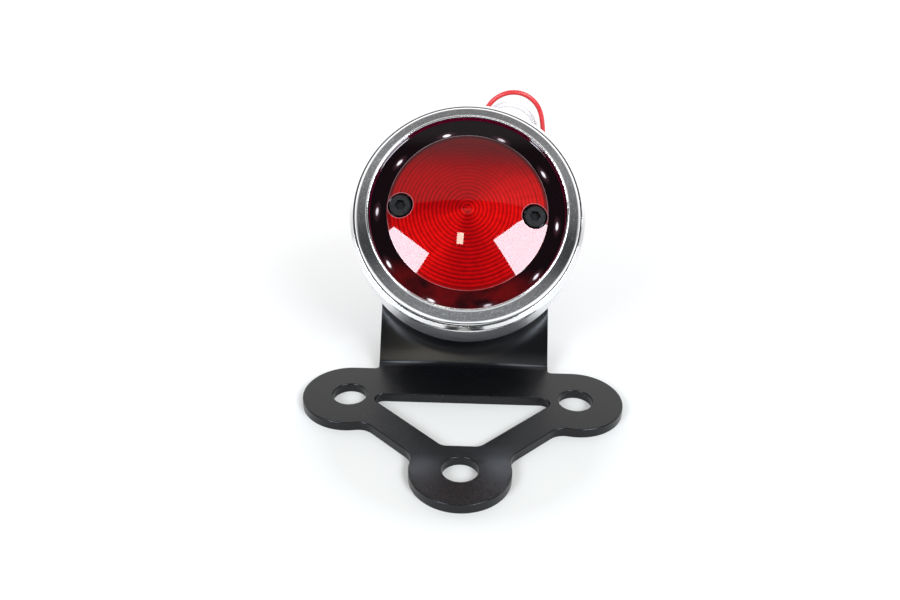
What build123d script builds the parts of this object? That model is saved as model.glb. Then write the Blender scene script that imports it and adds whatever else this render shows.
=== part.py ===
"""Round LED tail light on a bent three-hole sheet bracket, millimetres.

Frame: the origin is the centre of the front mounting hole on the bracket's underside,
+Z is up, +X is to the right seen from the front and the lamp looks towards -Y and up.
Lamp pieces are drawn on the lamp's own axis first: Z = 0 is the plane of the bezel's
front lip, +Z points out of the lamp, and the whole stack is then set on the bracket.
"""
from build123d import *
from math import cos, pi, radians, sin, tan
import os

# ---------------------------------------------------------------- bracket
plate_t = 2.5             # sheet thickness
hole_r = 4.5              # the three mounting holes
ear_r = 12.5              # outer radius of the ears round those holes
rear_spacing = 60.0       # between the two rear holes
rear_offset = 29.0        # front hole to rear holes, along Y
arm_outer = 4.7           # arm's outer edge from the line that joins the hole centres
arm_inner = 3.05          # arm's inner edge from that line
ear_fillet = 5.0          # between an ear and the outer edge of an arm
window_rear_y = 29.5      # rear edge of the triangular window
window_front_y = 8.8      # blunt front edge of the window
window_rear_fillet = 2.1
window_front_fillet = 3.0
upright_w = 47.0
upright_len = 60.0        # from the end of the bend to the top edge
upright_corner_r = 9.0
corner_fillet = 1.1       # between the ears' rear edge and the upright
edge_round = 0.3          # on the coated plate's upper edges
bend_r = 2.5              # inside radius of the bend
lean = 41.5               # how far the upright leans back from vertical, degrees

# ---------------------------------------------------------------- lamp stack
axis_up = 35.0            # lamp axis up the upright from the end of the bend
roll = -3.4               # the screws and the boards are turned by this, degrees
rear_gasket_t = 2.0
rear_gasket_r = 23.0
housing_depth = 25.0      # housing's back face to its mouth
bezel_stand = 3.0         # bezel's front lip ahead of the housing's mouth
housing_r = 30.8
housing_wall = 1.3
back_r = 24.0             # flat back of the housing
back_rise = 7.0           # height of the tapered part behind the straight side
back_t = 3.0
bezel_seat = 5.0          # housing's mouth to the step that the bezel sits on
seat_step = 1.0           # how much that step narrows the bore
mouth_flat = 0.2          # flat crest at the housing's mouth, then a bevel down to its side
mouth_bevel = 1.1
mouth_round = 1.0         # where the bevel meets the side
fit_gap = 0.1             # radial, between turned parts that slide together
thread_gap = 0.05         # radial, screw in its tapped hole

lip_r = 25.5              # opening of the bezel
lip_w = 0.6               # raised, fully rounded lip
lip_h = 0.35
crown_drop = 2.6          # turned cone from the lip's foot to the bezel's outer edge
crown_round = 1.6         # on that outer edge
ledge_r = 24.7            # ledge that the lens gasket sits on
ledge_t = 1.0
bezel_bore_r = 26.0
bezel_seal_t = 0.5
seal_gap = 0.1            # radial, round each flat seal

lens_gap = 0.15
lens_drop = 1.5           # flange's front face behind the lip
lens_t = 2.0
dome_r = 20.8
dome_top = 2.0            # top of the dome ahead of the lip
dome_wall = 2.2
flute_pitch = 1.0         # rings moulded inside the dome
flute_h = 0.35
dome_side = 1.5           # wall of the dome's rim
lens_gasket_t = 0.8

screw_inset = 3.5         # lens screws inside the dome's edge
screw_r = 1.5
head_r = 2.75
head_h = 2.2
socket_af = 2.5
socket_depth = 1.3
recess_r = 3.3
recess_floor = 1.9        # recess floor behind the lip
lens_boss_r = 3.0
lens_boss_h = 1.8
screw_engage = 6.0        # thread inside the housing's post
screw_clear = 0.1
spacer_r = 2.3

# ---------------------------------------------------------------- boards
ring_board_t = 1.0
ring_board_in = 20.9
running_pitch_r = 23.1
running_led_r = 1.4
running_led_h = 1.4
running_n = 10
carrier_in = 19.8
carrier_wall = 0.9
carrier_floor_t = 1.2
carrier_drop = 6.6        # carrier's height between the lens and the brake board
carrier_gap = 0.3
brake_board_r = 24.5
brake_board_t = 1.6
brake_led_size = (3.5, 2.8, 1.5)
brake_rows = ((1, 0.0), (6, 0.32), (12, 0.6))    # how many, and where as a share of dome_r
pin_r = 0.35
pin_gap = 0.05
post_r = 3.2
chip_size = (5.0, 4.0, 1.6)
rectifier_size = (4.8, 6.2, 2.5)
resistor_size = (3.2, 1.6, 0.6)
capacitor_r = 2.5
capacitor_h = 5.4

# ---------------------------------------------------------------- rear fixings
bolt_r = 2.5
bolt_pitch = 13.0         # each bolt from the lamp axis
bolt_clear = 0.25
bolt_boss_r = 4.2
bolt_boss_h = 6.0
bolt_engage = 7.0
bolt_head_af = 8.0
bolt_head_h = 3.5
washer_r = 5.0
washer_t = 1.0
spring_washer_r = 4.3
spring_washer_t = 1.3
spring_washer_slit = 0.8
grommet_hole_r = 5.0
grommet_flange_r = 6.5
grommet_front_t = 1.4
grommet_rear_t = 1.2
grommet_seat_gap = 0.5    # room round the grommet's flange inside the gasket
lead_hole_r = 3.0

# ---------------------------------------------------------------- leads
lead_d = 1.4
lead_x = 1.0              # each lead beside the lamp axis
lead_fit = 0.02
coil_mid_r = 7.7
coil_turns = 1.5
coil_centre = (0.0, 99.0)
coil_slack = 0.1          # room round the wound turns inside each coil's outline
coil_gap = 0.05           # between the two stacked coils
tie_t = 0.6
tie_w = 2.2
tie_gap = 0.1
tie_head = (3.2, 2.6, 1.8)
tinned_d = 0.9
tinned_len = 5.0

# Routes from the grommet towards the coils, and the last points before the bare ends.
red_approach = [
    (1.0, 70.44, 27.11),
    (1.2, 77.2, 21.1),
    (2.0, 87.0, 21.6),
    (2.4, 93.2, 31.0),
    (2.8, 94.2, 45.5),
    (3.6, 94.2, 56.4),
    (5.4, 94.2, 61.9),
    (10.0, 94.2, 65.2),
    (15.4, 94.2, 65.2),
    (19.9, 94.2, 61.8),
    (21.7, 94.2, 56.2),
    (22.2, 94.8, 46.0),
    (21.8, 96.6, 31.0),
    (19.6, 100.2, 17.5),
    (15.2, 104.6, 8.2),
]
red_end = [(12.0, 92.4, 0.75), (16.0, 93.6, 0.75)]
white_approach = [
    (-1.0, 70.44, 27.11),
    (-0.9, 77.6, 20.8),
    (-0.4, 89.0, 20.4),
    (0.4, 96.4, 29.0),
    (1.2, 97.4, 41.0),
    (1.95, 97.4, 51.6),
    (3.7, 97.4, 57.0),
    (8.3, 97.4, 60.4),
    (14.1, 97.4, 60.4),
    (18.7, 97.4, 57.0),
    (20.4, 97.4, 51.6),
    (20.8, 98.0, 41.5),
    (19.6, 100.6, 29.0),
    (16.2, 104.8, 18.0),
    (11.4, 107.6, 10.8),
]
white_end = [(11.4, 90.5, 2.6), (15.6, 89.9, 0.75), (20.2, 89.0, 0.75)]

# ---------------------------------------------------------------- worked out
lamp_height = rear_gasket_t + housing_depth + bezel_stand
gasket_z = -lamp_height
back_z = gasket_z + rear_gasket_t
mouth_z = -bezel_stand
bore_r = housing_r - housing_wall
bezel_r = bore_r - fit_gap
seat_z = mouth_z - bezel_seat
bezel_rear_z = seat_z + bezel_seal_t
lens_front_z = -lens_drop
lens_rear_z = lens_front_z - lens_t
dome_inside_r = dome_r - dome_side
flute_n = int((dome_inside_r - 0.8) / flute_pitch)
screw_pitch_r = dome_r - screw_inset
ledge_z = lens_rear_z - lens_gasket_t
ring_board_z = ledge_z - ledge_t
carrier_floor_z = ring_board_z - ring_board_t
carrier_top_z = lens_rear_z - carrier_gap
brake_z = carrier_top_z - carrier_drop
post_z = brake_z - brake_board_t
boss_floor_z = -recess_floor - lens_boss_h
ear_rear_y = rear_offset + ear_r
bend_y = ear_rear_y + corner_fillet
upright_back_z = gasket_z - plate_t
grommet_end_z = upright_back_z - grommet_rear_t
coil_height = lead_d * (coil_turns + 1) + 2 * coil_slack
red_low = tie_t
white_low = red_low + coil_height + coil_gap
coil_x, coil_y = coil_centre
coil_in_rise = coil_height - coil_slack - lead_d / 2     # lead's centre where it joins the coil
coil_out_rise = coil_slack + lead_d / 2                  # and where it leaves
red_in_z = red_low + coil_in_rise
red_out_z = red_low + coil_out_rise
white_in_z = white_low + coil_in_rise
white_out_z = white_low + coil_out_rise
red_route = red_approach + [(8.4, 106.9, red_in_z), (coil_x, coil_y + coil_mid_r, red_in_z)]
red_tail = [(coil_x, coil_y - coil_mid_r, red_out_z), (6.0, 91.3, red_out_z - 0.4)] + red_end
white_route = white_approach + [(5.4, 107.0, white_in_z + 0.05), (coil_x, coil_y + coil_mid_r, white_in_z)]
white_tail = [(coil_x, coil_y - coil_mid_r, white_out_z), (6.4, 91.1, white_out_z - 0.15)] + white_end

lean_rad = radians(lean)
bend_angle = pi / 2 - lean_rad
bend_end = Vector(0, bend_y + bend_r * sin(bend_angle), plate_t + bend_r * (1 - cos(bend_angle)))
up_dir = Vector(0, sin(lean_rad), cos(lean_rad))
out_dir = Vector(0, -cos(lean_rad), sin(lean_rad))
lamp_centre = bend_end + up_dir * axis_up + out_dir * lamp_height
lamp = Location(Plane(origin=lamp_centre, x_dir=(1, 0, 0), z_dir=out_dir))
rolled = lamp * Rot(0, 0, roll)


# ---------------------------------------------------------------- helpers
def turned(points, rounds):
    """A solid of revolution about Z from (radius, z) points; rounds: point index to fillet."""
    face = make_face(Polyline(*points, close=True))
    for index, radius in rounds.items():
        corner = Vector(*points[index])
        face = fillet(min(face.vertices(), key=lambda v: (Vector(v) - corner).length), radius)
    return revolve(Plane.XZ * face, Axis.Z)


def disc(radius, z_low, z_high, x=0.0, y=0.0):
    """A cylinder along Z between two heights."""
    return Pos(x, y, z_low) * Cylinder(radius, z_high - z_low, align=(Align.CENTER, Align.CENTER, Align.MIN))


def ring(r_out, r_in, z_low, z_high, x=0.0, y=0.0):
    return disc(r_out, z_low, z_high, x, y) - disc(r_in, z_low, z_high, x, y)


def hexagon(across_flats, z_low, z_high):
    face = Pos(0, 0, z_low) * RegularPolygon(across_flats / 2, 6, major_radius=False)
    return extrude(face, z_high - z_low)


def polar(radius, degrees):
    return radius * cos(radians(degrees)), radius * sin(radians(degrees))


def save(node, *solids):
    """Write one node: its solids, each separate, as one STEP file."""
    pieces = [solid for item in solids for solid in item.solids()]
    shape = pieces[0] if len(pieces) == 1 else Compound(children=pieces)
    shape.label = node
    export_step(shape, os.path.join("parts", node + ".step"))


# ---------------------------------------------------------------- bracket
def base_outline():
    """Three ears, the arms between them and the strip that leads to the bend."""
    run = Vector(rear_spacing / 2, rear_offset)
    along = run.normalized()
    across = Vector(along.Y, -along.X)
    ears = [(0.0, 0.0), (-run.X, run.Y), (run.X, run.Y)]
    start = across * arm_outer
    end = run + across * arm_outer
    right = [(start.X, start.Y), (end.X, end.Y), (run.X, ear_rear_y)]
    left = [(-x, y) for x, y in reversed(right)]
    outline = make_face(Polyline(*right, *left, close=True))
    for x, y in ears:
        outline += Pos(x, y) * Circle(ear_r)
    strip = bend_y - window_rear_y
    outline += Pos(0, bend_y - strip / 2) * Rectangle(upright_w, strip)

    reach = (ear_r**2 - arm_outer**2) ** 0.5
    necks = []
    for side in (-1, 1):
        for point in (start + along * reach, end - along * reach):
            necks.append(Vector(side * point.X, point.Y))
    outline = fillet([nearest(outline, neck) for neck in necks], ear_fillet)
    corners = [Vector(side * upright_w / 2, ear_rear_y) for side in (-1, 1)]
    outline = fillet([nearest(outline, corner) for corner in corners], corner_fillet)

    for x, y in ears:
        outline -= Pos(x, y) * Circle(hole_r)
    return outline - window(along, across)


def nearest(sketch, point):
    """The sketch's vertex closest to a point."""
    return min(sketch.vertices(), key=lambda vertex: (Vector(vertex) - point).length)


def window(along, across):
    """The blunt triangular opening, its slanted sides parallel to the arms."""
    def side_x(y):
        return (along.X * y - arm_inner) / along.Y

    rear = side_x(window_rear_y)
    front = side_x(window_front_y)
    face = make_face(Polyline(
        (-front, window_front_y), (front, window_front_y),
        (rear, window_rear_y), (-rear, window_rear_y), close=True))
    rear_corners = face.vertices().sort_by(Axis.Y)[-2:]
    face = fillet(rear_corners, window_rear_fillet)
    front_corners = face.vertices().sort_by(Axis.Y)[:2]
    return fillet(front_corners, window_front_fillet)


def bend_point(radius, angle, up=0.0):
    """A point of the bend's side view at an angle round it, and so far up the upright."""
    y = bend_y + radius * sin(angle) + up * up_dir.Y
    z = plate_t + bend_r - radius * cos(angle) + up * up_dir.Z
    return y, z


def make_bracket():
    base = extrude(base_outline(), plate_t)
    upper = base.faces().sort_by(Axis.Z)[-1].edges()
    base = fillet([edge for edge in upper if edge.center().Y < bend_y - 0.01], edge_round)
    inner = bend_r
    outer = bend_r + plate_t
    full = bend_angle
    side_view = make_face([
        Line(bend_point(outer, 0), bend_point(inner, 0)),
        ThreePointArc(bend_point(inner, 0), bend_point(inner, full / 2), bend_point(inner, full)),
        Line(bend_point(inner, full), bend_point(inner, full, upright_len)),
        Line(bend_point(inner, full, upright_len), bend_point(outer, full, upright_len)),
        Line(bend_point(outer, full, upright_len), bend_point(outer, full)),
        ThreePointArc(bend_point(outer, full), bend_point(outer, full / 2), bend_point(outer, 0)),
    ])
    upright = extrude(Plane.YZ * side_view, upright_w / 2, both=True)
    top_corners = upright.edges().filter_by(Axis((0, 0, 0), out_dir)).sort_by(Axis.Z)[-2:]
    upright = fillet(top_corners, upright_corner_r)
    holes = disc(grommet_hole_r, upright_back_z - 1, gasket_z + 1)
    for y in (-bolt_pitch, bolt_pitch):
        holes += disc(bolt_r + bolt_clear, upright_back_z - 1, gasket_z + 1, 0, y)
    return base + upright - lamp * holes


# ---------------------------------------------------------------- lamp body
def screw_places():
    return [polar(screw_pitch_r, angle) for angle in (0, 180)]


def make_housing():
    taper_z = back_z + back_rise
    floor_z = back_z + back_t
    inner_r = bore_r - seat_step
    shell = turned([
        (0, back_z), (back_r, back_z), (housing_r, taper_z), (housing_r, mouth_z - mouth_bevel),
        (bore_r + mouth_flat, mouth_z), (bore_r, mouth_z), (bore_r, seat_z), (inner_r, seat_z),
        (inner_r, taper_z + housing_wall), (back_r - back_t, floor_z), (0, floor_z),
    ], {1: 2.0, 2: 3.0, 3: mouth_round, 4: mouth_flat, 9: 1.5})
    for x, y in screw_places():
        shell += Rot(0, 0, roll) * (disc(post_r, floor_z - 0.5, post_z, x, y))
    for y in (-bolt_pitch, bolt_pitch):
        shell += disc(bolt_boss_r, floor_z - 0.5, floor_z + bolt_boss_h, 0, y)
    for x, y in screw_places():
        depth = screw_engage + 1.5
        shell -= Rot(0, 0, roll) * disc(screw_r + thread_gap, post_z - depth, post_z + 1, x, y)
    for y in (-bolt_pitch, bolt_pitch):
        shell -= disc(bolt_r + thread_gap, back_z - 1, back_z + bolt_engage + 1, 0, y)
    shell -= disc(lead_hole_r, back_z - 1, floor_z + 1)
    return lamp * shell


def make_bezel():
    foot_r = lip_r + lip_w
    return lamp * turned([
        (lip_r, 0), (foot_r, 0), (foot_r, -lip_h), (bezel_r, -crown_drop),
        (bezel_r, bezel_rear_z), (bezel_bore_r, bezel_rear_z), (bezel_bore_r, ring_board_z),
        (ledge_r, ring_board_z), (ledge_r, ledge_z), (lip_r, ledge_z),
    ], {0: lip_w * 0.48, 1: lip_w * 0.48, 3: crown_round})


def dome_height(radius):
    """Height of the dome's outer surface over the lamp's lip plane."""
    edge_z = lens_front_z + 0.5
    sphere_r = (dome_r**2 + (dome_top - edge_z) ** 2) / (2 * (dome_top - edge_z))
    return dome_top - sphere_r + (sphere_r**2 - radius**2) ** 0.5


def make_lens():
    lens_r = lip_r - lens_gap
    dome = ThreePointArc(
        (dome_r, dome_height(dome_r)), (dome_r / 2, dome_height(dome_r / 2)), (0, dome_top))
    flutes = [(0, dome_top - dome_wall)]
    for index in range(flute_n):
        radius = flute_pitch * (index + 0.35)
        flutes.append((radius, dome_height(radius) - dome_wall))
        flutes.append((radius + flute_pitch * 0.2, dome_height(radius) - dome_wall + flute_h))
    last_z = dome_height(dome_inside_r) - dome_wall
    flutes += [(dome_inside_r - 0.4, last_z), (dome_inside_r, last_z - 0.4), (dome_inside_r, lens_rear_z)]
    rim = [(lens_r, lens_rear_z), (lens_r, lens_front_z), (dome_r, lens_front_z),
           (dome_r, dome_height(dome_r))]
    profile = make_face([dome, Polyline((0, dome_top), *flutes, *rim)])
    body = revolve(Plane.XZ * profile, Axis.Z)
    for x, y in screw_places():
        body += disc(lens_boss_r, boss_floor_z, -recess_floor, x, y)
        body -= disc(recess_r, -recess_floor, dome_top + 1, x, y)
        body -= disc(screw_r + screw_clear, boss_floor_z - 1, dome_top, x, y)
    return rolled * body


def make_lens_screws():
    screws = []
    for x, y in screw_places():
        head = disc(head_r, -recess_floor, head_h - recess_floor)
        head = chamfer(head.edges().group_by(Axis.Z)[-1], 0.35)
        head -= hexagon(socket_af, head_h - recess_floor - socket_depth, head_h)
        shank = disc(screw_r, post_z - screw_engage, -recess_floor)
        screws.append(rolled * Pos(x, y, 0) * (head + shank))
    return screws


def make_lens_spacers():
    return [rolled * ring(spacer_r, screw_r + screw_clear, brake_z, boss_floor_z, x, y)
            for x, y in screw_places()]


# ---------------------------------------------------------------- boards
def pin_places():
    return [polar((running_pitch_r + ring_board_in) / 2 + 0.2, angle) for angle in (90, 270)]


def with_pin_holes(shape, z_low, z_high):
    for x, y in pin_places():
        shape -= disc(pin_r + pin_gap, z_low - 1, z_high + 1, x, y)
    return shape


def make_carrier():
    wall_r = carrier_in + carrier_wall
    low = carrier_floor_z - carrier_floor_t
    shape = turned([
        (carrier_in, brake_z), (wall_r, brake_z), (wall_r, low), (bezel_bore_r - 0.2, low),
        (bezel_bore_r - 0.2, carrier_floor_z), (wall_r, carrier_floor_z), (wall_r, carrier_top_z),
        (carrier_in, carrier_top_z),
    ], {})
    return rolled * with_pin_holes(shape, low, carrier_floor_z)


def make_running_board():
    shape = ring(bezel_bore_r - 0.2, ring_board_in, carrier_floor_z, ring_board_z)
    return rolled * with_pin_holes(shape, carrier_floor_z, ring_board_z)


def make_running_leds():
    body = disc(running_led_r, ring_board_z, ring_board_z + running_led_h)
    body = fillet(body.edges().group_by(Axis.Z)[-1], running_led_r * 0.6)
    places = [polar(running_pitch_r, index * 360 / running_n) for index in range(running_n)]
    return [rolled * Pos(x, y, 0) * body for x, y in places]


def make_brake_board():
    shape = disc(brake_board_r, post_z, brake_z)
    for x, y in screw_places():
        shape -= disc(screw_r + screw_clear, post_z - 1, brake_z + 1, x, y)
    return rolled * with_pin_holes(shape, post_z, brake_z)


def make_brake_leds():
    length, width, height = brake_led_size
    body = Pos(0, 0, brake_z) * Box(length, width, height, align=(Align.CENTER, Align.CENTER, Align.MIN))
    body = chamfer(body.edges().group_by(Axis.Z)[-1], 0.25)
    body -= disc(width * 0.38, brake_z + height - 0.3, brake_z + height + 1)
    leds = []
    for count, share in brake_rows:
        for index in range(count):
            turn = (index + 0.5) * 360 / count
            leds.append(rolled * Rot(0, 0, turn) * Pos(share * dome_r, 0, 0) * body)
    return leds


def block(size, x, y, turn=0.0):
    """A flat component under the brake board, its top on the board."""
    shape = Box(*size, align=(Align.CENTER, Align.CENTER, Align.MAX))
    shape = chamfer(shape.edges().group_by(Axis.Z)[0], min(size) * 0.2)
    return rolled * Pos(x, y, post_z) * Rot(0, 0, turn) * shape


def make_resistors():
    return [block(resistor_size, 9.0, y) for y in (-5.4, -2.7, 2.7, 5.4)]


def make_capacitor():
    can = disc(capacitor_r, post_z - capacitor_h, post_z, -8.0, -8.0)
    return rolled * fillet(can.edges().group_by(Axis.Z)[0], 0.4)


def make_jumper_pins():
    top = ring_board_z + 0.6
    return [rolled * disc(pin_r, post_z - 1.2, top, x, y) for x, y in pin_places()]


# ---------------------------------------------------------------- rear fixings
def make_rear_gasket():
    shape = disc(rear_gasket_r, gasket_z, back_z) - disc(
        grommet_flange_r + grommet_seat_gap, gasket_z - 1, back_z + 1)
    for y in (-bolt_pitch, bolt_pitch):
        shape -= disc(bolt_r + bolt_clear, gasket_z - 1, back_z + 1, 0, y)
    return lamp * shape


def make_grommet():
    front_z = gasket_z + grommet_front_t
    shape = turned([
        (0, grommet_end_z), (grommet_flange_r, grommet_end_z), (grommet_flange_r, upright_back_z),
        (grommet_hole_r, upright_back_z), (grommet_hole_r, gasket_z), (grommet_flange_r, gasket_z),
        (grommet_flange_r, front_z), (0, front_z),
    ], {1: 0.5, 6: 0.5})
    for x in (-lead_x, lead_x):
        shape -= disc(lead_d / 2 + lead_fit, grommet_end_z - 1, front_z + 1, x, 0)
    return lamp * shape


def make_mounting_bolts():
    head_z = upright_back_z - washer_t - spring_washer_t
    bolts = []
    for y in (-bolt_pitch, bolt_pitch):
        head = hexagon(bolt_head_af, head_z - bolt_head_h, head_z)
        head &= turned([
            (0, head_z - bolt_head_h), (bolt_head_af / 2 - 0.2, head_z - bolt_head_h),
            (bolt_head_af / 2 + 0.7, head_z - bolt_head_h + 0.6), (bolt_head_af / 2 + 0.7, head_z),
            (0, head_z),
        ], {})
        shank = disc(bolt_r, head_z, back_z + bolt_engage)
        bolts.append(lamp * Pos(0, y, 0) * (head + shank))
    return bolts


def make_flat_washers():
    return [lamp * ring(washer_r, bolt_r + 0.15, upright_back_z - washer_t, upright_back_z, 0, y)
            for y in (-bolt_pitch, bolt_pitch)]


def make_spring_washers():
    low = upright_back_z - washer_t - spring_washer_t
    coil = ring(spring_washer_r, bolt_r + 0.1, low, low + spring_washer_t)
    slit = Pos(spring_washer_r / 2 + 1, 0, low) * Rot(12, 0, 0) * Box(
        spring_washer_r, spring_washer_slit, 4 * spring_washer_t)
    return [lamp * Pos(0, y, 0) * (coil - slit) for y in (-bolt_pitch, bolt_pitch)]


# ---------------------------------------------------------------- leads
def bend_radii(name, route):
    """An arc at every inner point, as large as its two runs allow, and a line of print."""
    points = [Vector(*point) for point in route]
    radii = []
    for before, here, after in zip(points, points[1:], points[2:]):
        turn = radians((here - before).get_angle(after - here))
        shorter = min((here - before).length, (after - here).length)
        radii.append(0.45 * shorter / tan(turn / 2))
    print(name, "radii", [round(radius, 1) for radius in radii])
    return radii


def tube(name, route, diameter=lead_d):
    """A lead along a route: straight runs joined by tangent arcs."""
    path = FilletPolyline(*route, radius=bend_radii(name, route))
    start = Plane(origin=path @ 0, z_dir=path % 0)
    solid = sweep(start * Circle(diameter / 2), path=path)
    expected = pi * diameter**2 / 4 * path.length
    print(name, "length", round(path.length, 1), "volume ratio", round(solid.volume / expected, 4))
    return solid


def coil_ring(low):
    """The outer shape of one lead's coil, standing on a height."""
    half = lead_d / 2 + coil_slack
    return ring(coil_mid_r + half, coil_mid_r - half, low, low + coil_height, *coil_centre)


def make_tie(top):
    """A tie round both coils on their left side, with its head on top."""
    radial = lead_d + 2 * (coil_slack + tie_gap)
    hole = Box(radial, 2 * tie_w, top - tie_t + tie_gap, align=(Align.CENTER, Align.CENTER, Align.MIN))
    loop = Box(radial + 2 * tie_t, tie_w, top + tie_gap + tie_t,
               align=(Align.CENTER, Align.CENTER, Align.MIN)) - Pos(0, 0, tie_t) * hole
    head = Pos(0, 0, top + tie_gap + tie_t / 2) * Box(
        *tie_head, align=(Align.CENTER, Align.CENTER, Align.MIN))
    return Pos(coil_centre[0] - coil_mid_r, coil_centre[1], 0) * (loop + head)


def tinned_end(tail):
    """The stripped end of a lead, straight on from its tail."""
    last = Vector(*tail[-1])
    heading = (last - Vector(*tail[-2])).normalized()
    return Plane(origin=last, z_dir=heading) * disc(tinned_d / 2, 0, tinned_len)


def inner_lead(x):
    return lamp * disc(lead_d / 2, grommet_end_z, post_z, x, 0)


# ---------------------------------------------------------------- parts
os.makedirs("parts", exist_ok=True)

save("mounting_bracket", make_bracket())
save("housing", make_housing())
save("rear_gasket", make_rear_gasket())
save("bezel_ring", make_bezel())
save("bezel_seal", lamp * ring(bezel_r - seal_gap, bore_r - seat_step + seal_gap, seat_z, bezel_rear_z))
save("lens", make_lens())
save("lens_gasket", lamp * ring(lip_r - lens_gap, ledge_r + seal_gap, ledge_z, lens_rear_z))
save("lens_screws", *make_lens_screws())
save("lens_spacers", *make_lens_spacers())

save("led_carrier", make_carrier())
save("running_light_board", make_running_board())
save("running_light_leds", *make_running_leds())
save("brake_light_board", make_brake_board())
save("brake_light_leds", *make_brake_leds())
save("jumper_pins", *make_jumper_pins())
save("resistors", *make_resistors())
save("driver_chip", block(chip_size, -8.5, 5.5))
save("bridge_rectifier", block(rectifier_size, 0.0, 9.0, 90))
save("capacitor", make_capacitor())

save("lead_grommet", make_grommet())
save("mounting_bolts", *make_mounting_bolts())
save("flat_washers", *make_flat_washers())
save("spring_washers", *make_spring_washers())
save("red_lead_inside", inner_lead(lead_x))
save("white_lead_inside", inner_lead(-lead_x))

red_coil = coil_ring(red_low)
white_coil = coil_ring(white_low)
save("red_lead", tube("red lead", red_route) - red_coil, tube("red tail", red_tail) - red_coil)
save("white_lead", tube("white lead", white_route) - white_coil, tube("white tail", white_tail) - white_coil)
save("red_lead_coil", red_coil)
save("white_lead_coil", white_coil)
save("coil_tie", make_tie(white_low + coil_height))
save("tinned_ends", tinned_end(red_tail), tinned_end(white_tail))
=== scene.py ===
"""Looks of the round tail light on its bent bracket. Metres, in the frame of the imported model."""
import bpy
from math import cos, pi, radians, sin
from mathutils import Matrix, Vector


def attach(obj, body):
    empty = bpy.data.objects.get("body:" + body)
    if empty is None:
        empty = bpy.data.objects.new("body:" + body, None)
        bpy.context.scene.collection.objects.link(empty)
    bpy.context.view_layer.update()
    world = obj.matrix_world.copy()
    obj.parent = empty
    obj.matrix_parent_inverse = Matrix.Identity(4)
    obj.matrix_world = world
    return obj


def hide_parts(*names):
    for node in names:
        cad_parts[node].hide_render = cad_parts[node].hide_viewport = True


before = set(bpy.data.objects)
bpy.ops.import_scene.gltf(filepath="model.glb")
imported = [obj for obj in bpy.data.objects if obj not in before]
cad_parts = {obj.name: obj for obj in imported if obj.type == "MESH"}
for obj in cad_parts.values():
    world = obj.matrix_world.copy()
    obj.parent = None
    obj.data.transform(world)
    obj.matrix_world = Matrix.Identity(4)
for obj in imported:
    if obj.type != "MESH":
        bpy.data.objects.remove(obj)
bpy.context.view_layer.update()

MM = 0.001
LAMP_CENTRE = Vector((0.0, 45.2, 49.44)) * MM    # middle of the bezel's front lip
LAMP_TILT = radians(48.5)                        # lamp axis from straight up, towards the front
ROLL = radians(-3.4)                             # turn of the lens and boards about the lamp axis

# The lamp's sizes in millimetres, as its materials use them in coordinates on its own axis.
DOME_R = 20.8                # dome's foot, where the flange begins
FLANGE_R = 25.2              # flange's edge, next to the bezel
SCREW_X = 17.3               # each lens screw beside the axis
RECESS_R = 3.3               # recess round a screw's head
SOCKET_R = 1.45
RING_PITCH = 1.0             # rings moulded inside the dome
# GLINT_R: the circle of painted highlights, the glints of the running lamps under the flange.
GLINT_R = 23.2               # circle of the running lamps' glints under the flange
GLINTS = 10
CONE_IN = 26.2               # bezel's turned cone
CONE_OUT = 28.55


# ---------------------------------------------------------------- camera
def make_camera():
    data = bpy.data.cameras.new("camera")
    data.lens = 36.97
    data.sensor_width = 36.0
    data.clip_start = 5 * MM
    data.clip_end = 50.0
    camera = bpy.data.objects.new("camera", data)
    right = Vector((0.99945222, 0.02957302, 0.01485569))
    forward = Vector((-0.01806304, 0.86358147, -0.50388568)).normalized()
    up = right.cross(forward).normalized()
    right = forward.cross(up)
    turn = Matrix((right, up, -forward)).transposed()
    camera.matrix_world = Matrix.Translation(Vector((0.4447, -170.6329, 148.7776)) * MM) @ turn.to_4x4()
    bpy.context.scene.collection.objects.link(camera)
    bpy.context.scene.camera = camera


make_camera()


# ---------------------------------------------------------------- leads
LEAD_D = 1.4
COIL_R = 7.7
COIL_TURNS = 1.5
COIL_CENTRE = (0.0, 99.0)
TURN_POINTS = 16

red_route = [
    (1.0, 70.44, 27.11),
    (1.2, 77.2, 21.1),
    (2.0, 87.0, 21.6),
    (2.4, 93.2, 31.0),
    (2.8, 94.2, 45.5),
    (3.6, 94.2, 56.4),
    (5.4, 94.2, 61.9),
    (10.0, 94.2, 65.2),
    (15.4, 94.2, 65.2),
    (19.9, 94.2, 61.8),
    (21.7, 94.2, 56.2),
    (22.2, 94.8, 46.0),
    (21.8, 96.6, 31.0),
    (19.6, 100.2, 17.5),
    (15.2, 104.6, 8.2),
    (8.4, 106.9, 3.5),
    (0.0, 106.7, 3.5),
]
red_tail = [
    (0.0, 91.3, 1.4),
    (6.0, 91.3, 1.0),
    (12.0, 92.4, 0.75),
    (16.0, 93.6, 0.75),
]
white_route = [
    (-1.0, 70.44, 27.11),
    (-0.9, 77.6, 20.8),
    (-0.4, 89.0, 20.4),
    (0.4, 96.4, 29.0),
    (1.2, 97.4, 41.0),
    (1.95, 97.4, 51.6),
    (3.7, 97.4, 57.0),
    (8.3, 97.4, 60.4),
    (14.1, 97.4, 60.4),
    (18.7, 97.4, 57.0),
    (20.4, 97.4, 51.6),
    (20.8, 98.0, 41.5),
    (19.6, 100.6, 29.0),
    (16.2, 104.8, 18.0),
    (11.4, 107.6, 10.8),
    (5.4, 107.0, 7.3),
    (0.0, 106.7, 7.25),
]
white_tail = [
    (0.0, 91.3, 5.15),
    (6.4, 91.1, 5.0),
    (11.4, 90.5, 2.6),
    (15.6, 89.9, 0.75),
    (20.2, 89.0, 0.75),
]


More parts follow.
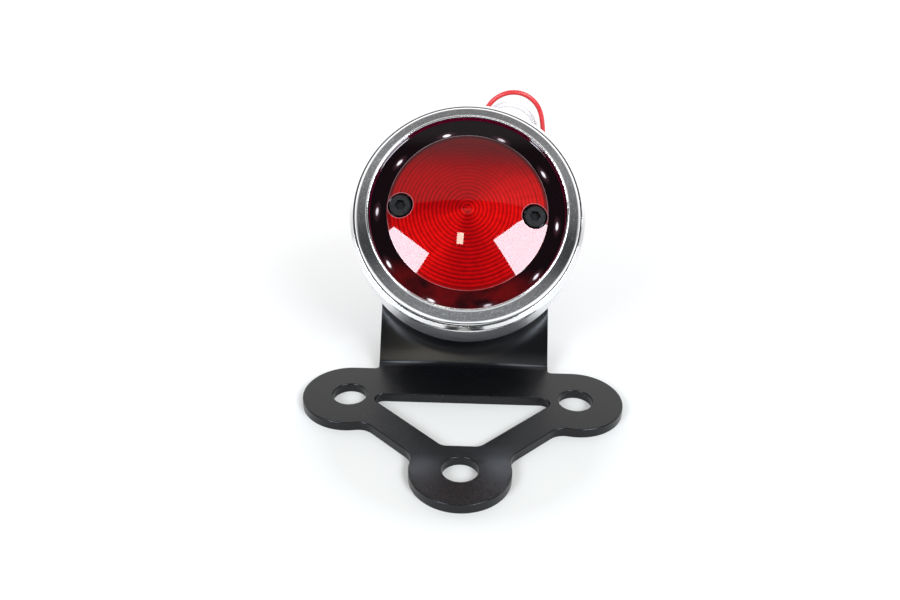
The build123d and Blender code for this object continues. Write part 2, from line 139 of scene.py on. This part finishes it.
def coil_points(z_in, z_out):
    """Turns from the coil's rear round to its front, going down; both ends are left out."""
    count = round(TURN_POINTS * COIL_TURNS)
    points = []
    for index in range(1, count):
        angle = radians(90) + 2 * pi * COIL_TURNS * index / count
        spread = COIL_R / cos(pi / TURN_POINTS)
        x = COIL_CENTRE[0] + spread * cos(angle)
        y = COIL_CENTRE[1] + spread * sin(angle)
        points.append((x, y, z_in + (z_out - z_in) * index / count))
    return points


def make_lead(name, route, tail):
    data = bpy.data.curves.new(name, "CURVE")
    data.dimensions = "3D"
    data.resolution_u = 10
    data.bevel_depth = 1.0
    data.bevel_resolution = 6
    data.use_fill_caps = True
    points = route + coil_points(route[-1][2], tail[0][2]) + tail
    spline = data.splines.new("NURBS")
    spline.points.add(len(points) - 1)
    for place, point in zip(spline.points, points):
        place.co = (*(Vector(point) * MM), 1.0)
        place.radius = LEAD_D / 2 * MM
    spline.order_u = 3
    spline.use_endpoint_u = True
    lead = bpy.data.objects.new(name, data)
    bpy.context.scene.collection.objects.link(lead)
    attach(lead, "root")
    return lead


red_lead = make_lead("red_wire", red_route, red_tail)
white_lead = make_lead("white_wire", white_route, white_tail)
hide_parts("red_lead", "red_lead_coil")
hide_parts("white_lead", "white_lead_coil")


# ---------------------------------------------------------------- material helpers
class Material:
    """A Principled material with short calls for the nodes that feed it."""

    def __init__(self, name, colour, roughness, metallic=0.0, **sockets):
        self.data = bpy.data.materials.new(name)
        self.data.use_nodes = True
        self.nodes = self.data.node_tree.nodes
        self.links = self.data.node_tree.links
        self.shader = self.nodes["Principled BSDF"]
        self.shader.inputs["Base Color"].default_value = (*colour, 1.0)
        self.shader.inputs["Roughness"].default_value = roughness
        self.shader.inputs["Metallic"].default_value = metallic
        for key, value in sockets.items():
            self.shader.inputs[key.replace("_", " ")].default_value = value
        self.place = self.add("ShaderNodeTexCoord").outputs["Object"]

    def add(self, kind, **settings):
        node = self.nodes.new(kind)
        for key, value in settings.items():
            setattr(node, key, value)
        return node

    def feed(self, socket, source):
        if isinstance(source, (int, float)):
            socket.default_value = source
        elif isinstance(source, (tuple, Vector)):
            socket.default_value = (*source, 1.0) if len(source) == 3 and socket.type == "RGBA" else source
        else:
            self.links.new(source, socket)

    def math(self, operation, first, second=0.0, clamp=False):
        node = self.add("ShaderNodeMath", operation=operation, use_clamp=clamp)
        self.feed(node.inputs[0], first)
        self.feed(node.inputs[1], second)
        return node.outputs[0]

    def square(self, value):
        return self.math("MULTIPLY", value, value)

    def hypot(self, first, second):
        return self.math("SQRT", self.math("ADD", self.square(first), self.square(second)))

    def noise(self, scale, detail=3.0, place=None):
        node = self.add("ShaderNodeTexNoise")
        self.feed(node.inputs["Vector"], place or self.place)
        node.inputs["Scale"].default_value = scale
        node.inputs["Detail"].default_value = detail
        return node.outputs["Fac"]

    def spread(self, value, low, high, to_low, to_high, smooth=False):
        """A value from one range to another, clamped."""
        kind = "SMOOTHSTEP" if smooth else "LINEAR"
        node = self.add("ShaderNodeMapRange", interpolation_type=kind, clamp=True)
        for key, given in zip(("Value", "From Min", "From Max", "To Min", "To Max"),
                              (value, low, high, to_low, to_high)):
            self.feed(node.inputs[key], given)
        return node.outputs["Result"]

    def blend(self, factor, first, second):
        node = self.add("ShaderNodeMix", data_type="RGBA")
        self.feed(node.inputs[0], factor)
        self.feed(node.inputs[6], first)
        self.feed(node.inputs[7], second)
        return node.outputs[2]

    def bump(self, height, distance, strength):
        node = self.add("ShaderNodeBump")
        node.inputs["Strength"].default_value = strength
        node.inputs["Distance"].default_value = distance
        self.feed(node.inputs["Height"], height)
        self.links.new(node.outputs[0], self.shader.inputs["Normal"])

    def colour(self, source):
        self.feed(self.shader.inputs["Base Color"], source)

    def rough(self, source):
        self.feed(self.shader.inputs["Roughness"], source)

    def lamp_place(self, roll=0.0):
        """x, y, z on the lamp's own axis in millimetres, then the radius and the angle round it."""
        mapping = self.add("ShaderNodeMapping", vector_type="TEXTURE")
        self.feed(mapping.inputs["Vector"], self.place)
        mapping.inputs["Location"].default_value = LAMP_CENTRE
        mapping.inputs["Rotation"].default_value = (LAMP_TILT, 0.0, 0.0)
        mapping.inputs["Scale"].default_value = (MM, MM, MM)
        source = mapping.outputs[0]
        if roll:
            turn = self.add("ShaderNodeMapping", vector_type="TEXTURE")
            self.feed(turn.inputs["Vector"], source)
            turn.inputs["Rotation"].default_value = (0.0, 0.0, roll)
            source = turn.outputs[0]
        split = self.add("ShaderNodeSeparateXYZ")
        self.feed(split.inputs[0], source)
        x, y, z = split.outputs
        return x, y, z, self.hypot(x, y), self.math("ARCTAN2", y, x)

    def band(self, value, low, high, soft):
        """1 between two values, 0 outside, with soft ends."""
        rise = self.spread(value, low - soft, low + soft, 0.0, 1.0)
        fall = self.spread(value, high - soft, high + soft, 1.0, 0.0)
        return self.math("MULTIPLY", rise, fall)


def give(material, *names):
    for name in names:
        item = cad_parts.get(name) or bpy.data.objects[name]
        item.data.materials.clear()
        item.data.materials.append(material.data)


# ---------------------------------------------------------------- bracket
def coat_black():
    """Satin coat: smoother on the upright than on the plate, with faint patches and specks."""
    plate_top, bend_top = 2 * MM, 6 * MM
    m = Material("coat_black", (0.0032, 0.0032, 0.0036), 0.2, Specular_IOR_Level=0.38)
    peel = m.noise(900.0, 2.0)
    specks = m.noise(2600.0, 2.0)
    patches = m.noise(38.0, 2.0)
    tone = m.blend(patches, (0.0026, 0.0026, 0.0031), (0.0038, 0.0038, 0.0044))
    m.colour(m.blend(m.spread(specks, 0.66, 0.76, 0.0, 1.0), tone, (0.010, 0.010, 0.011)))
    split = m.add("ShaderNodeSeparateXYZ")
    m.feed(split.inputs[0], m.place)
    sheen = m.spread(split.outputs[2], plate_top, bend_top, 0.26, 0.10)
    uneven = m.math("ADD", m.spread(patches, 0.3, 0.7, 0.0, 0.03), m.spread(specks, 0.5, 0.8, 0.0, 0.03))
    m.rough(m.math("ADD", sheen, uneven))
    m.bump(peel, 0.006 * MM, 0.25)
    return m


# ---------------------------------------------------------------- metal of the lamp
def turned_grain(m, radius, angle, z, across, around):
    """Noise drawn out round the lamp axis, as a lathe tool leaves it."""
    along = m.add("ShaderNodeCombineXYZ")
    m.feed(along.inputs[0], m.math("MULTIPLY", radius, across))
    m.feed(along.inputs[1], m.math("MULTIPLY", angle, around))
    m.feed(along.inputs[2], m.math("MULTIPLY", z, across))
    return m.noise(1.0, 4.0, along.outputs[0])


def polished_alloy():
    """The housing: bright at its rounded mouth, a little duller down its turned side."""
    side_top, mouth_foot = -5.0, -4.2
    m = Material("polished_alloy", (0.86, 0.86, 0.87), 0.16, 1.0)
    z, radius, angle = m.lamp_place()[2:]
    grain = turned_grain(m, radius, angle, z, 6.0, 1.6)
    smudge = m.noise(60.0, 3.0)
    m.colour(m.blend(m.spread(smudge, 0.3, 0.7, 0.0, 1.0), (0.86, 0.86, 0.88), (0.93, 0.93, 0.94)))
    side = m.spread(z, side_top, mouth_foot, 0.34, 0.10)
    m.rough(m.math("ADD", side, m.spread(grain, 0.3, 0.7, 0.0, 0.06)))
    m.bump(grain, 0.005 * MM, 0.2)
    return m


def turned_alloy():
    """The bezel: a bright rounded lip and edge, and between them a darker turned cone with pits."""
    m = Material("turned_alloy", (0.86, 0.86, 0.87), 0.12, 1.0)
    z, radius, angle = m.lamp_place()[2:]
    grain = turned_grain(m, radius, angle, z, 8.0, 9.0)
    pits = m.noise(2600.0, 3.0)
    cone = m.band(radius, CONE_IN, CONE_OUT, 0.14)
    tone = m.blend(m.spread(grain, 0.3, 0.7, 0.0, 1.0), (0.13, 0.131, 0.135), (0.23, 0.232, 0.236))
    tone = m.blend(m.spread(pits, 0.55, 0.72, 0.0, 0.5), tone, (0.60, 0.60, 0.62))
    m.colour(m.blend(cone, (0.93, 0.93, 0.94), tone))
    m.rough(m.spread(cone, 0.0, 1.0, 0.10, 0.26))
    relief = m.math("ADD", grain, m.math("MULTIPLY", pits, 0.6))
    m.bump(m.math("MULTIPLY", relief, cone), 0.03 * MM, 0.5)
    return m


# ---------------------------------------------------------------- lens
def painted_ring_light(m, radius, streak, wobble):
    """Painted highlights and shade of the rings moulded inside the dome: 0 in their dark lines, 1 on their
    bright sides.
    """
    shifted = m.math("ADD", radius, m.spread(streak, 0.2, 0.8, -0.16, 0.16))
    saw = m.math("FRACT", m.math("DIVIDE", shifted, RING_PITCH))
    rise = m.spread(saw, 0.0, 0.30, 0.0, 1.0, True)
    rings = m.math("MULTIPLY", rise, m.spread(saw, 0.45, 1.0, 1.0, 0.35, True))
    return m.math("MULTIPLY", rings, m.spread(wobble, 0.3, 0.7, 0.65, 1.0))


def painted_light_lobe(m, angle, centre, narrow, wide):
    """A painted pool of light: 1 in one direction round the dome, falling to 0 on both sides; degrees."""
    away = m.math("ABSOLUTE", m.math("SUBTRACT", angle, radians(centre)))
    return m.spread(away, radians(narrow), radians(wide), 1.0, 0.0, True)


def painted_glints(m, x, y, streak):
    """The painted highlights under the flange: how bright each running lamp's glint is, and the painted
    haze round it.
    """
    drop = 1.8              # the glints' circle lies this much lower than the lamps'
    squeeze = 0.11          # each is drawn out along that circle
    lower = m.math("ADD", y, drop)
    across = m.square(m.math("SUBTRACT", m.hypot(x, lower), GLINT_R))
    sector = 2 * pi / GLINTS
    turns = m.math("DIVIDE", m.math("ARCTAN2", lower, x), sector)
    within = m.math("SUBTRACT", m.math("FRACT", m.math("ADD", turns, GLINTS + 0.5)), 0.5)
    along = m.square(m.math("MULTIPLY", within, sector * GLINT_R))
    spot = m.math("SQRT", m.math("ADD", across, m.math("MULTIPLY", along, squeeze)))
    core = m.spread(spot, 0.16, 0.46, 1.0, 0.0, True)
    bright = m.math("MULTIPLY", core, m.spread(streak, 0.38, 0.6, 0.45, 1.0))
    return bright, m.spread(spot, 0.3, 1.1, 0.30, 0.0, True)


def screw_distance(m, x, y):
    """How far a point of the lens is from the nearer screw's axis."""
    return m.hypot(m.math("SUBTRACT", m.math("ABSOLUTE", x), SCREW_X), y)


def lens_dome(m, y, radius, angle, streak, wobble):
    """The red dome, with painted light and shade: painted highlights and shade of its moulded rings, two
    painted brighter sectors, a painted haze of reflection and painted shade over the top, painted shade
    towards the edge and a painted highlight line at its foot.
    """
    rings = painted_ring_light(m, radius, streak, wobble)
    # Painted reflection: a dim haze over the dome's upper part that flattens the rings.
    painted_haze = m.spread(y, 0.0, 9.0, 0.0, 1.0, True)
    clear = m.math("SUBTRACT", 1.0, m.math("MULTIPLY", painted_haze, 0.55))
    rings = m.math("ADD", m.math("MULTIPLY", rings, clear), m.math("MULTIPLY", painted_haze, 0.30))
    fan = m.add("ShaderNodeCombineXYZ")
    m.feed(fan.inputs[0], m.math("MULTIPLY", angle, 9.0))
    m.feed(fan.inputs[1], m.math("MULTIPLY", radius, 0.09))
    spokes = m.noise(1.0, 3.0, fan.outputs[0])
    # Painted light: two brighter sectors where the side panels' light comes through the dome.
    lit = m.math("MAXIMUM", painted_light_lobe(m, angle, -137.0, 12.0, 46.0), painted_light_lobe(m, angle, -4.0, 14.0, 80.0))
    lit = m.math("MULTIPLY", lit, m.spread(spokes, 0.3, 0.7, 0.55, 1.0))
    # Painted light and shade: darker and brighter reds of the rings, brighter still in the painted
    # sectors.
    dark = m.blend(lit, (0.080, 0.0, 0.0006), (0.17, 0.0002, 0.0010))
    bright = m.blend(lit, (0.33, 0.0004, 0.0010), (0.58, 0.0030, 0.0018))
    dome = m.blend(rings, dark, bright)
    # Painted shade: the dome darker towards its top.
    dome = m.blend(m.spread(y, 7.0, 18.0, 0.0, 0.88, True), dome, (0.054, 0.0, 0.0010))
    # Painted shade: one dark ring line near the dome's edge.
    groove_shade = m.band(radius, 17.95, 18.15, 0.10)
    dome = m.blend(m.math("MULTIPLY", groove_shade, 0.6), dome, (0.04, 0.0, 0.001))
    # Painted shade: the dome darker towards its edge, more so at the top.
    edge = m.spread(radius, DOME_R - 1.6, DOME_R - 0.2, 0.0, 1.0, True)
    edge = m.math("MULTIPLY", edge, m.spread(y, -10.0, 6.0, 0.40, 0.90))
    dome = m.blend(edge, dome, (0.020, 0.0022, 0.0024))
    # Painted highlight: a thin pale line at the dome's foot, where its edge would catch light.
    foot = m.band(radius, DOME_R - 0.18, DOME_R - 0.06, 0.04)
    line = m.math("MULTIPLY", foot, m.spread(streak, 0.4, 0.65, 0.1, 0.6))
    return m.blend(line, dome, (0.30, 0.24, 0.25))


def lens_flange(m, x, y, radius, streak):
    """The near-black flange, with painted red light at its very edge and low down, and the running lamps'
    painted glints.
    """
    # Painted light: a red glow at the flange's very edge.
    painted_rim_light = m.spread(radius, FLANGE_R - 0.05, FLANGE_R + 0.04, 0.0, 1.0)
    flange = m.blend(painted_rim_light, (0.0030, 0.0010, 0.0016), (0.11, 0.0, 0.016))
    # Painted light: a red glow in the flange low down, in streaks.
    low = m.spread(y, -20.0, -13.0, 1.0, 0.0, True)
    low = m.math("MULTIPLY", low, m.spread(streak, 0.38, 0.6, 0.10, 1.0))
    flange = m.blend(low, flange, (0.075, 0.0018, 0.0022))
    # Painted highlights: the glints and their haze.
    glint, haze = painted_glints(m, x, y, streak)
    flange = m.blend(haze, flange, (0.08, 0.03, 0.035))
    return m.blend(glint, flange, (0.85, 0.76, 0.76))


def lens_red():
    """Red dome, near-black flange and the two screw recesses, with a painted highlight round each recess
    and painted shade inside it.
    """
    m = Material("lens_red", (0.6, 0.0, 0.01), 0.03, IOR=1.5)
    x, y, _, radius, angle = m.lamp_place(ROLL)
    wobble = m.noise(700.0, 3.0)
    streak = m.noise(120.0, 4.0)
    dome = lens_dome(m, y, radius, angle, streak, wobble)
    flange = lens_flange(m, x, y, radius, streak)
    skin = m.blend(m.spread(radius, DOME_R - 0.02, DOME_R + 0.1, 0.0, 1.0), dome, flange)
    near = screw_distance(m, x, y)
    # Painted highlight: a pale ring round each screw recess's edge.
    painted_rim_light = m.band(near, RECESS_R, RECESS_R + 0.18, 0.05)
    skin = m.blend(m.math("MULTIPLY", painted_rim_light, 0.35), skin, (0.42, 0.24, 0.26))
    # Painted shade: dark inside each screw recess.
    recess = m.spread(near, RECESS_R - 0.04, RECESS_R + 0.04, 1.0, 0.0)
    m.colour(m.blend(recess, skin, (0.008, 0.002, 0.003)))
    m.rough(m.spread(wobble, 0.3, 0.8, 0.018, 0.04))
    m.bump(streak, 0.04 * MM, 0.06)
    return m


def black_oxide():
    """The lens screws: dark satin heads, with painted shade in their sockets."""
    m = Material("black_oxide", (0.015, 0.015, 0.015), 0.32, 0.2, Specular_IOR_Level=0.22)
    x, y, z = m.lamp_place(ROLL)[:3]
    grain = m.noise(1200.0, 4.0)
    head = m.blend(m.spread(grain, 0.3, 0.7, 0.0, 1.0), (0.011, 0.0112, 0.0115), (0.020, 0.0203, 0.0206))
    # Painted shade: the sockets are darkened in colour.
    inside = m.spread(screw_distance(m, x, y), SOCKET_R - 0.03, SOCKET_R + 0.05, 1.0, 0.0)
    socket_shade = m.math("MULTIPLY", inside, m.spread(z, 0.10, 0.28, 1.0, 0.0))
    m.colour(m.blend(socket_shade, head, (0.002, 0.002, 0.002)))
    m.rough(m.spread(socket_shade, 0.0, 1.0, 0.32, 0.55))
    m.bump(grain, 0.02 * MM, 0.3)
    return m


# ---------------------------------------------------------------- small parts
def simple(name, colour, second, roughness, metallic=0.0, scale=400.0, strength=0.3):
    """A plain finish with some variation of colour, roughness and relief."""
    m = Material(name, colour, roughness, metallic)
    grain = m.noise(scale, 4.0)
    m.colour(m.blend(m.spread(grain, 0.3, 0.7, 0.0, 1.0), colour, second))
    m.rough(m.spread(grain, 0.3, 0.7, roughness * 0.85, min(1.0, roughness * 1.2)))
    m.bump(grain, 0.02 * MM, strength)
    return m


give(coat_black(), "mounting_bracket")
give(polished_alloy(), "housing")
give(turned_alloy(), "bezel_ring")
give(lens_red(), "lens")
give(simple("rubber_black", (0.016, 0.016, 0.016), (0.026, 0.026, 0.026), 0.6, scale=1500.0),
     "rear_gasket", "bezel_seal", "lens_gasket", "lead_grommet")
give(black_oxide(), "lens_screws")
give(simple("zinc_steel", (0.62, 0.62, 0.60), (0.72, 0.71, 0.68), 0.28, 1.0, 700.0),
     "mounting_bolts", "flat_washers", "spring_washers")
give(simple("brass_plain", (0.72, 0.52, 0.22), (0.80, 0.62, 0.30), 0.3, 1.0, 900.0),
     "lens_spacers", "jumper_pins")
give(simple("board_green", (0.02, 0.13, 0.05), (0.03, 0.18, 0.07), 0.35, scale=900.0),
     "running_light_board", "brake_light_board")
give(simple("carrier_white", (0.72, 0.72, 0.70), (0.80, 0.80, 0.78), 0.4, scale=700.0), "led_carrier")
give(simple("led_body", (0.80, 0.76, 0.55), (0.88, 0.84, 0.62), 0.15, scale=1200.0),
     "running_light_leds", "brake_light_leds")
give(simple("chip_black", (0.02, 0.02, 0.02), (0.03, 0.03, 0.03), 0.5, scale=2500.0),
     "driver_chip", "bridge_rectifier", "resistors")
give(simple("sleeve_blue", (0.03, 0.06, 0.22), (0.05, 0.09, 0.30), 0.3, scale=800.0), "capacitor")
give(simple("lead_red", (0.50, 0.022, 0.024), (0.60, 0.030, 0.032), 0.32, scale=600.0, strength=0.15),
     "red_lead_inside", "red_wire")
give(simple("lead_white", (0.74, 0.74, 0.73), (0.82, 0.82, 0.81), 0.35, scale=600.0, strength=0.15),
     "white_lead_inside", "white_wire")
give(simple("tie_black", (0.014, 0.014, 0.014), (0.024, 0.024, 0.024), 0.42, scale=1500.0), "coil_tie")
give(simple("tinned_copper", (0.70, 0.69, 0.66), (0.80, 0.78, 0.74), 0.3, 1.0, 1800.0), "tinned_ends")


# ---------------------------------------------------------------- floor, lamps and surroundings
def link_node(tree, kind, *sources, **settings):
    """A new node of a bare tree, with sockets or plain numbers for its first inputs."""
    node = tree.nodes.new(kind)
    for key, value in settings.items():
        setattr(node, key, value)
    for socket, given in zip(node.inputs, sources):
        if isinstance(given, (int, float, tuple)):
            socket.default_value = given
        else:
            tree.links.new(given, socket)
    return node


def make_floor():
    """White paper. Seen by the camera and by glossy surfaces it also shines, and more so further out. Near
    the plate's middle its colour is darker: a painted shadow.
    """
    half = 4.0
    drop = 0.02 * MM
    plate_middle = (0.0, 20 * MM, 0.0)
    painted_shadow_paper, far_paper = (0.62, 0.60, 0.56, 1.0), (0.77, 0.76, 0.735, 1.0)
    white = (1.0, 1.0, 1.0, 1.0)
    data = bpy.data.meshes.new("floor")
    corners = [(-half, -half, 0.0), (half, -half, 0.0), (half, half, 0.0), (-half, half, 0.0)]
    data.from_pydata(corners, [], [(0, 1, 2, 3)])
    floor = bpy.data.objects.new("floor", data)
    bpy.context.scene.collection.objects.link(floor)
    floor.location.z = -drop
    material = bpy.data.materials.new("floor")
    material.use_nodes = True
    tree = material.node_tree
    tree.nodes.clear()
    place = link_node(tree, "ShaderNodeTexCoord").outputs["Object"]
    away = link_node(tree, "ShaderNodeVectorMath", place, operation="LENGTH").outputs["Value"]
    shining = link_node(tree, "ShaderNodeMapRange", away, 30 * MM, 170 * MM, 0.04, 0.95)
    path = link_node(tree, "ShaderNodeLightPath")
    rays = path.outputs["Is Camera Ray"], path.outputs["Is Glossy Ray"]
    seen = link_node(tree, "ShaderNodeMath", *rays, operation="MAXIMUM").outputs[0]
    share = link_node(tree, "ShaderNodeMath", seen, shining.outputs[0], operation="MULTIPLY").outputs[0]
    # Painted shadow: darker paper within about 5 cm of the plate's middle.
    away = link_node(tree, "ShaderNodeVectorMath", place, plate_middle, operation="DISTANCE")
    far = link_node(tree, "ShaderNodeMapRange", away.outputs["Value"], 34 * MM, 52 * MM, 0.0, 1.0)
    tone = link_node(tree, "ShaderNodeMix", data_type="RGBA")
    tree.links.new(far.outputs[0], tone.inputs[0])
    tone.inputs[6].default_value = painted_shadow_paper
    tone.inputs[7].default_value = far_paper
    paper = link_node(tree, "ShaderNodeBsdfDiffuse", tone.outputs[2]).outputs[0]
    glow = link_node(tree, "ShaderNodeEmission", white, 1.05).outputs[0]
    mix = link_node(tree, "ShaderNodeMixShader", share, paper, glow).outputs[0]
    link_node(tree, "ShaderNodeOutputMaterial", mix)
    floor.data.materials.append(material)


def direction(azimuth, elevation):
    """Azimuth 0 is the front, towards -Y, and grows towards +X; degrees."""
    a, e = radians(azimuth), radians(elevation)
    return Vector((sin(a) * cos(e), -cos(a) * cos(e), sin(e)))


def softbox(name, azimuth, elevation, width, height, radiance, colour, roll=0.0):
    """A square-on panel seen from the lamp at a direction; width, height and roll are in degrees."""
    distance = 1.2
    data = bpy.data.lights.new(name, "AREA")
    data.shape = "RECTANGLE"
    data.size = 2 * distance * sin(radians(width / 2))
    data.size_y = 2 * distance * sin(radians(height / 2))
    data.energy = radiance * pi * data.size * data.size_y
    data.color = colour
    lamp = bpy.data.objects.new(name, data)
    facing = direction(azimuth, elevation)
    turn = facing.to_track_quat("Z", "Y").to_matrix() @ Matrix.Rotation(radians(roll), 3, "Z")
    lamp.location = LAMP_CENTRE + facing * distance
    lamp.rotation_euler = turn.to_euler()
    bpy.context.scene.collection.objects.link(lamp)


def make_world():
    """A dim room with a pale wall behind the object and a ceiling; the camera sees plain white."""
    room, wall_light, ceiling_light, overhead_light = 0.07, 0.82, 0.36, 0.45
    wall_top = 0.60
    ceiling_edge = 0.53
    overall = 0.8
    white = (1.0, 1.0, 1.0, 1.0)
    world = bpy.data.worlds.new("studio")
    bpy.context.scene.world = world
    world.use_nodes = True
    tree = world.node_tree
    tree.nodes.clear()

    def math(operation, first, second, clamp=False):
        node = link_node(tree, "ShaderNodeMath", first, second, operation=operation, use_clamp=clamp)
        return node.outputs[0]

    place = link_node(tree, "ShaderNodeTexCoord").outputs["Generated"]
    _, back, height = link_node(tree, "ShaderNodeSeparateXYZ", place).outputs
    behind = math("ADD", math("MULTIPLY", back, 2.2), 0.35, True)
    above = math("MULTIPLY", math("SUBTRACT", height, wall_top), 8.0, True)
    wall = math("MULTIPLY", behind, math("SUBTRACT", 1.0, above, True))
    level = math("ADD", math("MULTIPLY", wall, wall_light), room)
    ahead = math("ADD", math("MULTIPLY", height, ceiling_edge), back)
    ceiling = math("MULTIPLY", ahead, 60.0, True)
    overhead = math("MULTIPLY", math("SUBTRACT", ahead, 0.35), 3.0, True)
    level = math("ADD", level, math("MULTIPLY", ceiling, ceiling_light))
    level = math("ADD", level, math("MULTIPLY", overhead, overhead_light))
    camera_ray = link_node(tree, "ShaderNodeLightPath").outputs["Is Camera Ray"]
    seen = math("MAXIMUM", math("MULTIPLY", level, overall), camera_ray)
    background = link_node(tree, "ShaderNodeBackground", white, seen).outputs[0]
    link_node(tree, "ShaderNodeOutputWorld", background)


make_floor()
make_world()
BOX_TONE = (0.83, 0.90, 1.0)
softbox("box_left", -37.0, 29.0, 22.0, 20.0, 21.0, BOX_TONE, roll=-14.0)
softbox("box_right", 37.0, 37.0, 26.0, 22.0, 21.0, BOX_TONE, roll=14.0)
softbox("small_lamp", -4.3, 44.0, 3.0, 5.3, 19.0, (1.0, 0.93, 0.78))

bpy.context.scene.view_settings.view_transform = "Standard"
